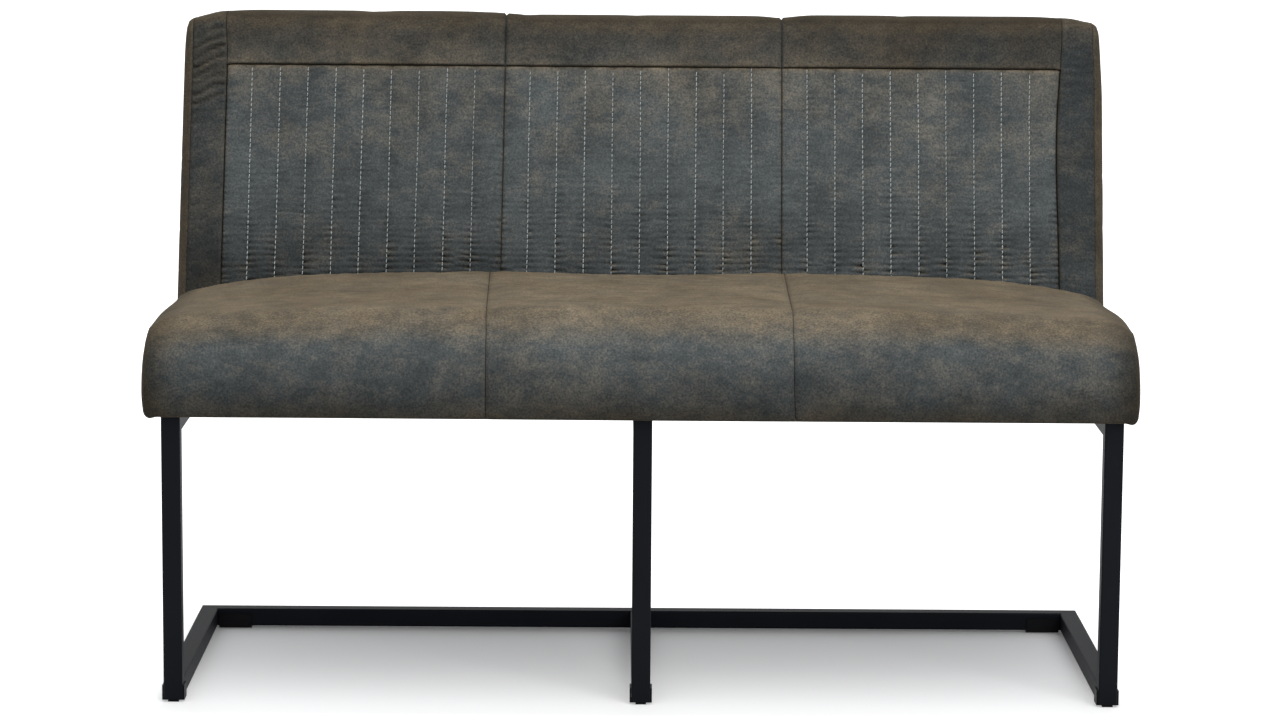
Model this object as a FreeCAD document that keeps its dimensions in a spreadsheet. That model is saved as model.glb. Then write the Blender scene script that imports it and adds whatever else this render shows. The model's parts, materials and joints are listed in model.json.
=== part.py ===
import FreeCAD, Part
import math
import os
import re

import Sketcher

Vector = FreeCAD.Vector

# A dining banquette: an upholstered seat and reclined back on three square-tube cantilever frames.
# X runs along the bench, +Y to the rear and +Z up; the origin is on the floor under the middle.
# Lengths are in millimetres and angles in degrees.
SIZES = {
    # whole bench
    "overall_width": 1300,
    "overall_depth": 600,
    "overall_height": 875,
    # square tube of the frame
    "tube_side": 25,
    "tube_wall": 2,
    "tube_corner": 2.5,
    "leg_inset": 22,  # outer leg face to the end of the seat
    "leg_setback": 30,  # leg face to the front of the seat
    "floor_rail_length": 480,
    "upright_top_gap": 64,  # top of an upright to the top of the back board
    "cross_rail_gap": 40,  # cross rail to the uprights
    # saddle glides
    "glide_wall": 2,
    "glide_base": 1.5,
    "glide_foot": 4,  # floor to the underside of the tube
    "glide_foot_width": 14,
    "glide_grip": 18,
    "glide_clearance": 0.2,
    "front_glide_length": 26,
    "front_glide_setback": 4,
    "rear_glide_length": 46,
    "rear_glide_inset": 2,
    # seat upholstery
    "seat_underside": 384,
    "seat_crown": 523,
    "seat_crown_drop": 18,  # fall of the crown from the middle to the ends
    "seat_front_round": 76,
    "seat_bottom_round": 12,
    "seat_rear_round": 18,
    "seat_end_round": 44,  # along the bench
    "seat_end_fall": 40,  # of the top over that round
    "seat_end_draw": 28,  # of the front over that round
    "seat_cap_round": 60,  # front round where it meets the end
    "seat_seam": 202,  # middle of the bench to a panel seam
    "cover_thickness": 5,
    "lining_thickness": 2,
    "soft_gap": 0.3,
    "seam_gap": 0.4,
    # seat timber
    "rail_thickness": 18,
    "rail_height": 52,
    "front_rail_setback": 26,
    "rear_rail_backing": 6,
    "bearer_width": 40,
    "bearer_thickness": 22,
    # seat springs
    "springs_per_bay": 5,
    "spring_wire": 3.8,
    "spring_width": 50,
    "spring_pitch": 24,
    "clip_sheet": 1.5,
    "clip_length": 14,
    "clip_back": 4,  # wire to the closed side of the clip
    "clip_clearance": 0.1,
    "felt_thickness": 4,
    # seat bolts
    "bolt_diameter": 6,
    "bolt_clearance": 0.3,
    "bolt_head_diameter": 12,
    "bolt_head_height": 4,
    "bolt_end_gap": 70,  # end of a bearer to its bolt
    "washer_diameter": 16,
    "washer_thickness": 1.5,
    "nut_flange_diameter": 19,
    "nut_flange_thickness": 1.5,
    "nut_barrel_diameter": 8,
    "nut_barrel_length": 10,
    "thread_clearance": 0.05,
    # back
    "recline": 11,
    "front_foam": 26,
    "board_thickness": 12,
    "rear_foam": 5,  # behind the uprights, at the top of the back
    "back_taper": 18,  # extra depth at the foot of the back
    "top_front_round": 26,
    "top_rear_round": 30,
    "top_roll_height": 42,
    "heading_height": 75,
    "rear_heading_height": 48,
    "end_band_width": 50,
    "end_band_draw": 4,
    "side_panel_depth": 12,
    "side_panel_draw": 12,
    "channel_count": 10,
    "channel_relief": 3,
    # back fixings
    "screw_diameter": 4.8,
    "screw_head_diameter": 9.6,
    "screw_head_height": 2.8,
    "screw_reach": 5,  # past the wall of the upright
    "screws_per_upright": 3,
    "first_screw": 90,  # above the foot of the upright
    "last_screw": 80,  # below the top of the upright
    "cap_thickness": 3,
    "cap_plug": 14,
}

doc = FreeCAD.newDocument("dining_banquette")
dims = doc.addObject("Spreadsheet::Sheet", "dims")
for row, (alias, size) in enumerate(SIZES.items(), 1):
    dims.set(f"A{row}", alias)
    dims.set(f"B{row}", str(size))
    dims.setAlias(f"B{row}", alias)
doc.recompute()

parts = []


def formula(text):
    # Points each size's name at its cell.
    return re.sub(r"[a-z_]+", lambda found: f"dims.{found[0]}" if found[0] in SIZES else found[0], text)


def value(text):
    return float(dims.evalExpression(formula(text)))


def bind(item, setting, text):
    item.setExpression(setting, formula(text))


def place(item, x="0", y="0", z="0"):
    for axis, text in zip("xyz", (x, y, z)):
        bind(item, f"Placement.Base.{axis}", text)


# Places that several pieces share, written in terms of the driving sizes
lean = "(recline * 1deg)"
leg_x = "(overall_width / 2 - leg_inset - tube_side / 2)"
leg_front = "(leg_setback - overall_depth / 2)"
rear_rail_front = f"({leg_front} + floor_rail_length - tube_side)"
inner_half = "(tube_side / 2 - tube_wall)"
sides = {"left": f"-{leg_x}", "middle": "0", "right": leg_x}

# The back has its own frame: its foot on the arms, Y square to its front face, Z up along that face.
board_front = "(cover_thickness + soft_gap + front_foam)"
board_rear = f"({board_front} + board_thickness)"
top_depth = f"({board_rear} + tube_side + rear_foam + soft_gap + cover_thickness)"
back_height = (
    f"((overall_height - seat_underside - top_front_round * (1 - sin({lean}))) / cos({lean})"
    " + top_front_round)"
)
taper_slope = f"(back_taper / {back_height})"
rear_round_centre = (
    f"({top_depth} + {taper_slope} * top_rear_round"
    f" - top_rear_round * sqrt(1 + {taper_slope} * {taper_slope}))"
)
back_y = (
    f"(overall_depth / 2 - top_rear_round - {rear_round_centre} * cos({lean})"
    f" - ({back_height} - top_rear_round) * sin({lean}))"
)
heading_seam = f"({back_height} - heading_height)"
rear_seam = f"({back_height} - rear_heading_height)"
board_top = f"({back_height} - top_roll_height)"
back_half = "(overall_width / 2 - side_panel_depth)"
column = f"(({back_half} - end_band_width) * 2 / 3)"
columns = {"left": f"-{column}", "middle": "0", "right": column}
upright_y = f"({back_y} + {board_rear} / cos({lean}))"
upright_foot = f"({board_rear} * tan({lean}))"
upright_top = f"({board_top} - upright_top_gap)"
upright_length = f"({upright_top} - {upright_foot})"
screw_pitch = f"(({upright_length} - first_screw - last_screw) / (screws_per_upright - 1))"
screw_rises = [f"(first_screw + {i} * {screw_pitch})" for i in range(SIZES["screws_per_upright"])]
mitre = f"(tube_side * tan(45deg - {lean} / 2))"


def rear_at(height):
    return f"({top_depth} + back_taper - {taper_slope} * ({height}))"


def rear_foot(inset="0", rise="0"):
    # Corner of the rear face, drawn in by inset, with the level line that runs rise above the foot.
    depth = f"(({rear_at(rise)} - {inset}) / (1 + {taper_slope} * tan({lean})))"
    return depth, f"({depth} * tan({lean}) + {rise})"


# Levels and lines inside the seat
frame_z = "(seat_underside + lining_thickness)"
front_rail_y = "(front_rail_setback - overall_depth / 2)"
rear_rail_y = f"({back_y} - cover_thickness - 2 * soft_gap - rear_rail_backing - rail_thickness)"
bay_front = f"({front_rail_y} + rail_thickness)"
rail_half = f"({leg_x} + bearer_width / 2)"
rail_top = f"({frame_z} + rail_height)"
wire_z = f"({rail_top} + clip_sheet + spring_wire / 2)"
felt_z = f"({wire_z} + spring_wire / 2 + soft_gap)"
bolt_lines = (f"({bay_front} + bolt_end_gap)", f"({rear_rail_y} - bolt_end_gap)")
bolt_places = [(x, y) for x in sides.values() for y in bolt_lines]


def new_body(label, x="0", y="0", z="0", leaning=False):
    body = doc.addObject("PartDesign::Body", label)
    body.Label = label
    if leaning:
        body.Placement.Rotation = FreeCAD.Rotation(Vector(-1, 0, 0), SIZES["recline"])
        bind(body, "Placement.Rotation.Angle", lean)
    place(body, x, y, z)
    parts.append(body)
    return body


def new_back_body(label, x="0"):
    return new_body(label, x, back_y, "seat_underside", leaning=True)


def new_sketch(body, plane, lift=None):
    sketch = body.newObject("Sketcher::SketchObject", body.Label + "_sketch")
    sketch.AttachmentSupport = (next(o for o in body.Origin.OriginFeatures if o.Role == plane), "")
    sketch.MapMode = "FlatFace"
    if lift:
        bind(sketch, "AttachmentOffset.Base.z", lift)
    return sketch


def pin(sketch, geometry, point, corner):
    for kind, text in zip(("DistanceX", "DistanceY"), corner):
        number = sketch.addConstraint(Sketcher.Constraint(kind, -1, 1, geometry, point, value(text)))
        bind(sketch, f"Constraints[{number}]", text)


def draw_outline(sketch, corners):
    spots = [Vector(value(across), value(up), 0) for across, up in corners]
    first = sketch.GeometryCount
    count = len(spots)
    for i in range(count):
        sketch.addGeometry(Part.LineSegment(spots[i], spots[(i + 1) % count]))
    for i in range(count):
        sketch.addConstraint(Sketcher.Constraint("Coincident", first + i, 2, first + (i + 1) % count, 1))
    for i, corner in enumerate(corners):
        pin(sketch, first + i, 1, corner)


def draw_circles(sketch, centres, radius):
    for centre in centres:
        spot = Vector(value(centre[0]), value(centre[1]), 0)
        ring = sketch.addGeometry(Part.Circle(spot, Vector(0, 0, 1), value(radius)))
        pin(sketch, ring, 3, centre)
        number = sketch.addConstraint(Sketcher.Constraint("Radius", ring, value(radius)))
        bind(sketch, f"Constraints[{number}]", radius)


def pad(body, sketch, length, both_ways=True):
    feature = body.newObject("PartDesign::Pad", body.Label + "_pad")
    feature.Profile = sketch
    feature.Midplane = both_ways
    bind(feature, "Length", length)
    doc.recompute()
    return feature


def cut(body, sketch, depth=None):
    # With no depth the cut goes through the whole piece, both ways.
    before = body.Shape.Volume
    feature = body.newObject("PartDesign::Pocket", body.Label + "_cut")
    feature.Profile = sketch
    if depth:
        bind(feature, "Length", depth)
    else:
        feature.Type = "ThroughAll"
        feature.Midplane = True
    doc.recompute()
    if body.Shape.Volume >= before:
        raise RuntimeError(f"{body.Label}: a cut took nothing away")
    return feature


def round_edges(body, base, wanted, radius):
    names = [f"Edge{i}" for i, edge in enumerate(base.Shape.Edges, 1) if wanted(edge)]
    feature = body.newObject("PartDesign::Fillet", body.Label + "_round")
    feature.Base = (base, names)
    bind(feature, "Radius", radius)
    doc.recompute()
    return feature


def runs_along(direction):
    def test(edge):
        run = edge.Vertexes[-1].Point - edge.Vertexes[0].Point
        return run.Length > 0 and abs(run.normalize().dot(direction)) > 0.9999

    return test


def stands_at(corner):
    # Picks the edge along X through a corner of the profile.
    spot = Vector(0, value(corner[0]), value(corner[1]))

    def test(edge):
        along = runs_along(Vector(1, 0, 0))(edge)
        start = edge.Vertexes[0].Point
        return along and math.hypot(start.y - spot.y, start.z - spot.z) < 0.01

    return test


# Square tube: a side outline padded across, its long edges rounded and its bore cut along it
AXES = {
    "X": (Vector(1, 0, 0), "XY_Plane", "YZ_Plane"),
    "Y": (Vector(0, 1, 0), "YZ_Plane", "XZ_Plane"),
    "Z": (Vector(0, 0, 1), "YZ_Plane", "XY_Plane"),
}


def tube(label, axis, outline, x, y, z, leaning=False):
    direction, side_plane, bore_plane = AXES[axis]
    body = new_body(label, x, y, z, leaning)
    profile = new_sketch(body, side_plane)
    draw_outline(profile, outline)
    blank = pad(body, profile, "tube_side")
    round_edges(body, blank, runs_along(direction), "tube_corner")
    near, far = "tube_wall", "tube_side - tube_wall"
    square = [(f"-{inner_half}", near), (inner_half, near), (inner_half, far), (f"-{inner_half}", far)]
    if axis == "X":
        square = [(up, across) for across, up in square]
    bore = new_sketch(body, bore_plane)
    draw_outline(bore, square)
    cut(body, bore)
    return body


def mitre_rear_corner(body, outer):
    # Cuts the rear end of a side floor rail at 45 degrees; outer is -1 on the left and 1 on the right.
    sketch = new_sketch(body, "XY_Plane")
    reach = "(tube_side / 2 + tube_wall)"
    rear = "(floor_rail_length + tube_wall)"
    front = "(floor_rail_length - tube_side - tube_wall)"
    outside, inside = f"{outer} * {reach}", f"{-outer} * {reach}"
    draw_outline(sketch, [(outside, rear), (inside, rear), (inside, front)])
    cut(body, sketch)


def drill(body, plane, centres, radius, depth=None):
    sketch = new_sketch(body, plane)
    draw_circles(sketch, centres, radius)
    cut(body, sketch, depth)


# Frames: floor rail, leg, arm and upright of each, mitred into one bent line of tube
for side, x in sides.items():
    rail_end = "floor_rail_length - tube_side" if side == "middle" else "floor_rail_length"
    floor_rail = tube(
        f"floor_rail_{side}",
        "Y",
        [("0", "0"), (rail_end, "0"), (rail_end, "tube_side"), ("tube_side", "tube_side")],
        x,
        leg_front,
        "glide_foot",
    )
    if side != "middle":
        mitre_rear_corner(floor_rail, -1 if side == "left" else 1)

    leg_top = "seat_underside - glide_foot"
    tube(
        f"front_leg_{side}",
        "Z",
        [("0", "0"), ("tube_side", "tube_side"), ("tube_side", f"{leg_top} - tube_side"), ("0", leg_top)],
        x,
        leg_front,
        "glide_foot",
    )

    arm_reach = f"({upright_y} - {leg_front})"
    arm = tube(
        f"seat_arm_{side}",
        "Y",
        [("tube_side", "0"), (f"{arm_reach} + {mitre}", "0"), (arm_reach, "tube_side"), ("0", "tube_side")],
        x,
        leg_front,
        "seat_underside - tube_side",
    )
    bolt_holes = [("0", f"{line} - {leg_front}") for line in bolt_lines]
    drill(arm, "XY_Plane", bolt_holes, "bolt_diameter / 2 + bolt_clearance")

    upright = tube(
        f"back_upright_{side}",
        "Z",
        [("0", "0"), ("tube_side", f"-{mitre}"), ("tube_side", upright_length), ("0", upright_length)],
        x,
        upright_y,
        "seat_underside",
        leaning=True,
    )
    screw_holes = [("0", rise) for rise in screw_rises]
    drill(upright, "XZ_Plane", screw_holes, "screw_diameter / 2 + thread_clearance", "tube_wall * 2")

rear_half = f"({leg_x} + tube_side / 2)"
tube(
    "rear_floor_rail",
    "X",
    [
        (f"tube_side - {rear_half}", "0"),
        (f"{rear_half} - tube_side", "0"),
        (rear_half, "tube_side"),
        (f"-{rear_half}", "tube_side"),
    ],
    "0",
    rear_rail_front,
    "glide_foot + tube_side / 2",
)

cross_half = f"({leg_x} - tube_side) / 2"
for side, sign in (("left", "-1"), ("right", "1")):
    tube(
        f"cross_rail_{side}",
        "X",
        [
            (f"-{cross_half}", "0"),
            (cross_half, "0"),
            (cross_half, "tube_side"),
            (f"-{cross_half}", "tube_side"),
        ],
        f"{sign} * {leg_x} / 2",
        f"{upright_y} - cross_rail_gap - tube_side",
        "seat_underside - tube_side / 2",
    )


# Glides: a saddle that grips the tube, with a narrower runner on the floor
def glide(label, length, x, y, along_x=False):
    body = new_body(label, x, y)
    inner = "(tube_side / 2 + glide_clearance)"
    outer = f"({inner} + glide_wall)"
    runner = "(glide_foot_width / 2)"
    shoulder = "glide_foot - glide_base"
    rim = "glide_foot + glide_grip"
    half = [
        (runner, "0"),
        (runner, shoulder),
        (outer, shoulder),
        (outer, rim),
        (inner, rim),
        (inner, "glide_foot"),
    ]
    outline = half + [(f"-{across}", up) for across, up in reversed(half)]
    sketch = new_sketch(body, "YZ_Plane" if along_x else "XZ_Plane")
    draw_outline(sketch, outline)
    pad(body, sketch, length)


front_glide_y = f"{leg_front} + front_glide_setback + front_glide_length / 2"
for side, x in sides.items():
    glide(f"front_glide_{side}", "front_glide_length", x, front_glide_y)
rear_glide_x = f"({leg_x} - tube_side / 2 - rear_glide_inset - rear_glide_length / 2)"
for side, sign in (("left", "-1"), ("right", "1")):
    glide(
        f"rear_glide_{side}",
        "rear_glide_length",
        f"{sign} * {rear_glide_x}",
        f"{rear_rail_front} + tube_side / 2",
        along_x=True,
    )


# Simple solids: blocks and rods, joined, cut and grouped
def block(label, low, size):
    item = doc.addObject("Part::Box", label)
    for setting, text in zip(("Length", "Width", "Height"), size):
        bind(item, setting, text)
    place(item, *low)
    return item


def rod(label, radius, length, x="0", y="0", z="0"):
    item = doc.addObject("Part::Cylinder", label)
    bind(item, "Radius", radius)
    bind(item, "Height", length)
    place(item, x, y, z)
    return item


def without(label, base, tools):
    tool = tools[0]
    if len(tools) > 1:
        tool = doc.addObject("Part::MultiFuse", label + "_tools")
        tool.Shapes = tools
    item = doc.addObject("Part::Cut", label)
    item.Base = base
    item.Tool = tool
    return item


def joined(label, first, second):
    item = doc.addObject("Part::Fuse", label)
    item.Base = first
    item.Tool = second
    return item


def keep(item, label):
    item.Label = label
    parts.append(item)
    return item


def group(label, blank, spots, leaning=False):
    copies = []
    for spot in spots:
        copy = doc.addObject("App::Link", label + "_copy")
        copy.LinkedObject = blank
        if leaning:
            copy.Placement.Rotation = FreeCAD.Rotation(Vector(-1, 0, 0), SIZES["recline"])
            bind(copy, "Placement.Rotation.Angle", lean)
        place(copy, *spot)
        copies.append(copy)
    item = doc.addObject("Part::Compound", label)
    item.Links = copies
    return keep(item, label)


# Seat timber: two long rails and three bearers that sit over the arms
rail_size = (f"2 * {rail_half}", "rail_thickness", "rail_height")
keep(block("front_rail", (f"-{rail_half}", front_rail_y, frame_z), rail_size), "seat_front_rail")
keep(block("rear_rail", (f"-{rail_half}", rear_rail_y, frame_z), rail_size), "seat_rear_rail")
for side, x in sides.items():
    plank = block(
        f"plank_{side}",
        (f"{x} - bearer_width / 2", bay_front, frame_z),
        ("bearer_width", f"{rear_rail_y} - {bay_front}", "bearer_thickness"),
    )
    barrel_hole = "nut_barrel_diameter / 2 + bolt_clearance"
    holes = [rod("bearer_hole", barrel_hole, "bearer_thickness", x, y, frame_z) for y in bolt_lines]
    keep(without(f"bearer_{side}", plank, holes), f"seat_bearer_{side}")

# Seat bolts up through the arms, with washers under their heads and tee nuts on the bearers
arm_bottom = "(seat_underside - tube_side)"
nut_z = f"({frame_z} + bearer_thickness)"
bolt_radius = "bolt_diameter / 2"
shank = rod("bolt_shank", bolt_radius, "tube_side + lining_thickness + bearer_thickness + washer_thickness")
head = rod("bolt_head", "bolt_head_diameter / 2", "bolt_head_height", z="-bolt_head_height")
socket = rod("bolt_socket", "bolt_diameter / 3", "bolt_head_height / 2", z="-bolt_head_height")
bolt = without("bolt_blank", joined("bolt_body", shank, head), [socket])
group("seat_bolts", bolt, [(x, y, f"{arm_bottom} - washer_thickness") for x, y in bolt_places])

disc = rod("washer_disc", "washer_diameter / 2", "washer_thickness")
eye = rod("washer_eye", f"{bolt_radius} + bolt_clearance", "washer_thickness")
washer = without("washer_blank", disc, [eye])
group("seat_washers", washer, [(x, y, f"{arm_bottom} - washer_thickness") for x, y in bolt_places])

flange = rod("nut_flange", "nut_flange_diameter / 2", "nut_flange_thickness")
barrel = rod("nut_barrel", "nut_barrel_diameter / 2", "nut_barrel_length", z="-nut_barrel_length")
nut_bore_length = "nut_barrel_length + nut_flange_thickness"
nut_bore = rod("nut_bore", f"{bolt_radius} + thread_clearance", nut_bore_length, z="-nut_barrel_length")
nut = without("nut_blank", joined("nut_body", flange, barrel), [nut_bore])
group("seat_tee_nuts", nut, [(x, y, nut_z) for x, y in bolt_places])

# Spring clips: a folded strip round each spring end, open towards the springs
bay_width = f"(({leg_x} - bearer_width) / springs_per_bay)"
spring_lines = [
    f"({sign} * (bearer_width / 2 + {bay_width} * ({i} + 0.5)))"
    for sign in ("-1", "1")
    for i in range(SIZES["springs_per_bay"])
]
clip_mouth = "(spring_wire + clip_clearance)"
clip_height = f"({clip_mouth} + 2 * clip_sheet)"
clip_depth = "(spring_wire / 2 + clip_back + clip_sheet)"
strip = block(
    "clip_strip",
    ("-clip_length / 2", f"-{clip_depth}", "0"),
    ("clip_length", f"{clip_depth} * 2", clip_height),
)
for end, sign in (("front", 1), ("rear", -1)):
    mouth_low = f"-{clip_depth} + clip_sheet" if sign > 0 else f"-{clip_depth}"
    mouth = block(
        f"clip_mouth_{end}",
        ("-clip_length / 2", mouth_low, "clip_sheet"),
        ("clip_length", f"{clip_depth} * 2 - clip_sheet", clip_mouth),
    )
    line = f"{front_rail_y} + rail_thickness / 2" if sign > 0 else f"{rear_rail_y} + rail_thickness / 2"
    clip = without(f"clip_blank_{end}", strip, [mouth])
    group(f"{end}_spring_clips", clip, [(x, line, rail_top) for x in spring_lines])

# Felt over the springs, between the rails
felt = block(
    "felt_sheet",
    (f"-{rail_half}", bay_front, felt_z),
    (f"2 * {rail_half}", f"{rear_rail_y} - {bay_front}", "felt_thickness"),
)
keep(felt, "spring_felt")

# Dust cover inside the turned-in edge of the seat cover, holed for the bolts
opening_front = f"({front_rail_y} + rail_thickness / 2)"
opening_rear = f"({rear_rail_y} + rail_thickness / 2)"
opening_half = f"({rail_half} - bearer_width / 4)"
sheet = block(
    "dust_sheet",
    (f"soft_gap - {opening_half}", f"{opening_front} + soft_gap", "seat_underside"),
    (
        f"2 * ({opening_half} - soft_gap)",
        f"{opening_rear} - {opening_front} - 2 * soft_gap",
        "lining_thickness",
    ),
)
dust_holes = [
    rod("dust_hole", f"{bolt_radius} + bolt_clearance", "lining_thickness", x, y, "seat_underside")
    for x, y in bolt_places
]
keep(without("dust_cover", sheet, dust_holes), "seat_dust_cover")

# Caps in the tops of the uprights, and the screws through the back board, in the back's own frame
cap_plate = block(
    "cap_plate",
    ("-tube_side / 2", board_rear, upright_top),
    ("tube_side", "tube_side", "cap_thickness"),
)
plug_half = f"({inner_half} - glide_clearance)"
cap_stem = block(
    "cap_stem",
    (
        f"-{plug_half}",
        f"{board_rear} + tube_side / 2 - {plug_half}",
        f"{upright_top} - cap_plug",
    ),
    (f"2 * {plug_half}", f"2 * {plug_half}", "cap_plug"),
)
cap = joined("cap_blank", cap_plate, cap_stem)
group("upright_caps", cap, [(x, back_y, "seat_underside") for x in sides.values()], leaning=True)


def lay_back(item):
    # Turns a rod to lie along the back's depth, from front to rear.
    item.Placement.Rotation = FreeCAD.Rotation(Vector(1, 0, 0), -90)


def screw_head(label, spare="0"):
    item = doc.addObject("Part::Cone", label)
    bind(item, "Radius1", f"screw_head_diameter / 2 + {spare}")
    bind(item, "Radius2", f"screw_diameter / 2 + {spare}")
    bind(item, "Height", "screw_head_height")
    return item


screw_length = "board_thickness + tube_wall + screw_reach"
screw_shank = rod("screw_shank", "screw_diameter / 2", screw_length)
screw = joined("screw_blank", screw_shank, screw_head("screw_cone"))
screw_heights = [f"({upright_foot} + {rise})" for rise in screw_rises]
turned = doc.addObject("Part::Compound", "screw_turned")
turned.Links = [screw]
lay_back(screw)
screw_spots = [
    (
        x,
        f"{back_y} + {board_front} * cos({lean}) + {up} * sin({lean})",
        f"seat_underside - {board_front} * sin({lean}) + {up} * cos({lean})",
    )
    for x in sides.values()
    for up in screw_heights
]
group("back_screws", turned, screw_spots, leaning=True)

# Back board, drilled and countersunk for the screws
lining_rise = f"((lining_thickness + soft_gap) / cos({lean}))"


def foot_at(depth):
    # Height along the back, at a depth, of the level line just above the lining.
    return f"({depth} * tan({lean}) + {lining_rise})"


board_half = f"({back_half} - soft_gap)"
board_foot = foot_at(board_rear)
board_blank = block(
    "board_blank",
    (f"-{board_half}", board_front, board_foot),
    (f"2 * {board_half}", "board_thickness", f"{board_top} - {board_foot}"),
)
board_tools = []
for x in sides.values():
    for up in screw_heights:
        hole = rod("board_hole", "screw_diameter / 2 + thread_clearance", "board_thickness")
        for tool in (hole, screw_head("board_sink", "thread_clearance")):
            lay_back(tool)
            place(tool, x, board_front, up)
            board_tools.append(tool)
board = without("board_drilled", board_blank, board_tools)
board.Placement.Rotation = FreeCAD.Rotation(Vector(-1, 0, 0), SIZES["recline"])
bind(board, "Placement.Rotation.Angle", lean)
place(board, "0", back_y, "seat_underside")
keep(board, "back_board")

# Foam of the back: in front of the board, over its top and behind it round the uprights
foam_front = "(cover_thickness + soft_gap)"
front_foam = new_back_body("back_front_foam")
foam_outline = new_sketch(front_foam, "YZ_Plane")
draw_outline(
    foam_outline,
    [
        (foam_front, foot_at(foam_front)),
        (board_front, foot_at(board_front)),
        (board_front, board_top),
        (foam_front, board_top),
    ],
)
pad(front_foam, foam_outline, f"2 * {board_half}")

roll_top = f"({back_height} - cover_thickness - soft_gap)"


def foam_rear_at(height):
    return f"({rear_at(height)} - cover_thickness - soft_gap)"


top_roll = new_back_body("back_top_roll")
roll_outline = new_sketch(top_roll, "YZ_Plane")
roll_front_corner = (foam_front, roll_top)
roll_rear_corner = (foam_rear_at(roll_top), roll_top)
draw_outline(
    roll_outline,
    [(foam_front, board_top), (foam_rear_at(board_top), board_top), roll_rear_corner, roll_front_corner],
)
roll = pad(top_roll, roll_outline, f"2 * {board_half}")
roll = round_edges(top_roll, roll, stands_at(roll_front_corner), "top_front_round - cover_thickness")
round_edges(top_roll, roll, stands_at(roll_rear_corner), "top_rear_round - cover_thickness")

rear_foam = new_back_body("back_rear_foam")
rear_outline = new_sketch(rear_foam, "YZ_Plane")
draw_outline(
    rear_outline,
    [
        (board_rear, foot_at(board_rear)),
        rear_foot("(cover_thickness + soft_gap)", lining_rise),
        (foam_rear_at(board_top), board_top),
        (board_rear, board_top),
    ],
)
pad(rear_foam, rear_outline, f"2 * {board_half}")
slots = new_sketch(rear_foam, "XZ_Plane", lift=f"-{board_rear}")
slot_half = "(tube_side / 2 + soft_gap)"
slot_top = f"({upright_top} + cap_thickness + soft_gap)"
for x in sides.values():
    low, high = f"{x} - {slot_half}", f"{x} + {slot_half}"
    draw_outline(slots, [(low, "0"), (high, "0"), (high, slot_top), (low, slot_top)])
cut(rear_foam, slots, "tube_side + soft_gap")

# Lining under the back, holed for the uprights
lining = new_back_body("back_lining")
lining_outline = new_sketch(lining, "YZ_Plane")
lining_lift = f"(lining_thickness / cos({lean}))"
draw_outline(
    lining_outline,
    [
        (foam_front, f"{foam_front} * tan({lean})"),
        rear_foot("(cover_thickness + soft_gap)"),
        rear_foot("(cover_thickness + soft_gap)", lining_lift),
        (foam_front, f"{foam_front} * tan({lean}) + {lining_lift}"),
    ],
)
pad(lining, lining_outline, f"2 * {board_half}")
lining_slots = new_sketch(lining, "XY_Plane")
slot_front = f"{board_rear} - soft_gap"
slot_rear = f"{board_rear} + tube_side + soft_gap"
for x in sides.values():
    low, high = f"{x} - {slot_half}", f"{x} + {slot_half}"
    draw_outline(lining_slots, [(low, slot_front), (high, slot_front), (high, slot_rear), (low, slot_rear)])
cut(lining, lining_slots)

# Back cover, column by column: quilted panel, heading over the top, rear panel
panel_width = f"({column} - seam_gap)"
channel_pitch = f"({panel_width} / channel_count)"
channel_radius = f"({channel_pitch} * {channel_pitch} / (8 * channel_relief) + channel_relief / 2)"
panel_foot = f"(cover_thickness * tan({lean}))"
panel_length = f"({heading_seam} - seam_gap / 2 - {panel_foot})"


def draw_channel(sketch, middle):
    # One stuffed channel: an arc that swells forward from the stitch lines at both its sides.
    x, half = value(middle), value(f"{channel_pitch} / 2")
    radius = value(channel_radius)
    swing = math.asin(half / radius)
    circle = Part.Circle(Vector(x, radius, 0), Vector(0, 0, 1), radius)
    down = -math.pi / 2
    arc = sketch.addGeometry(Part.ArcOfCircle(circle, down - swing, down + swing))
    relief = value("channel_relief")
    chord = sketch.addGeometry(Part.LineSegment(Vector(x + half, relief, 0), Vector(x - half, relief, 0)))
    sketch.addConstraint(Sketcher.Constraint("Coincident", arc, 2, chord, 1))
    sketch.addConstraint(Sketcher.Constraint("Coincident", arc, 1, chord, 2))
    pin(sketch, chord, 1, (f"{middle} + {channel_pitch} / 2", "channel_relief"))
    pin(sketch, chord, 2, (f"{middle} - {channel_pitch} / 2", "channel_relief"))
    number = sketch.addConstraint(Sketcher.Constraint("Radius", arc, radius))
    bind(sketch, f"Constraints[{number}]", channel_radius)


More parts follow.
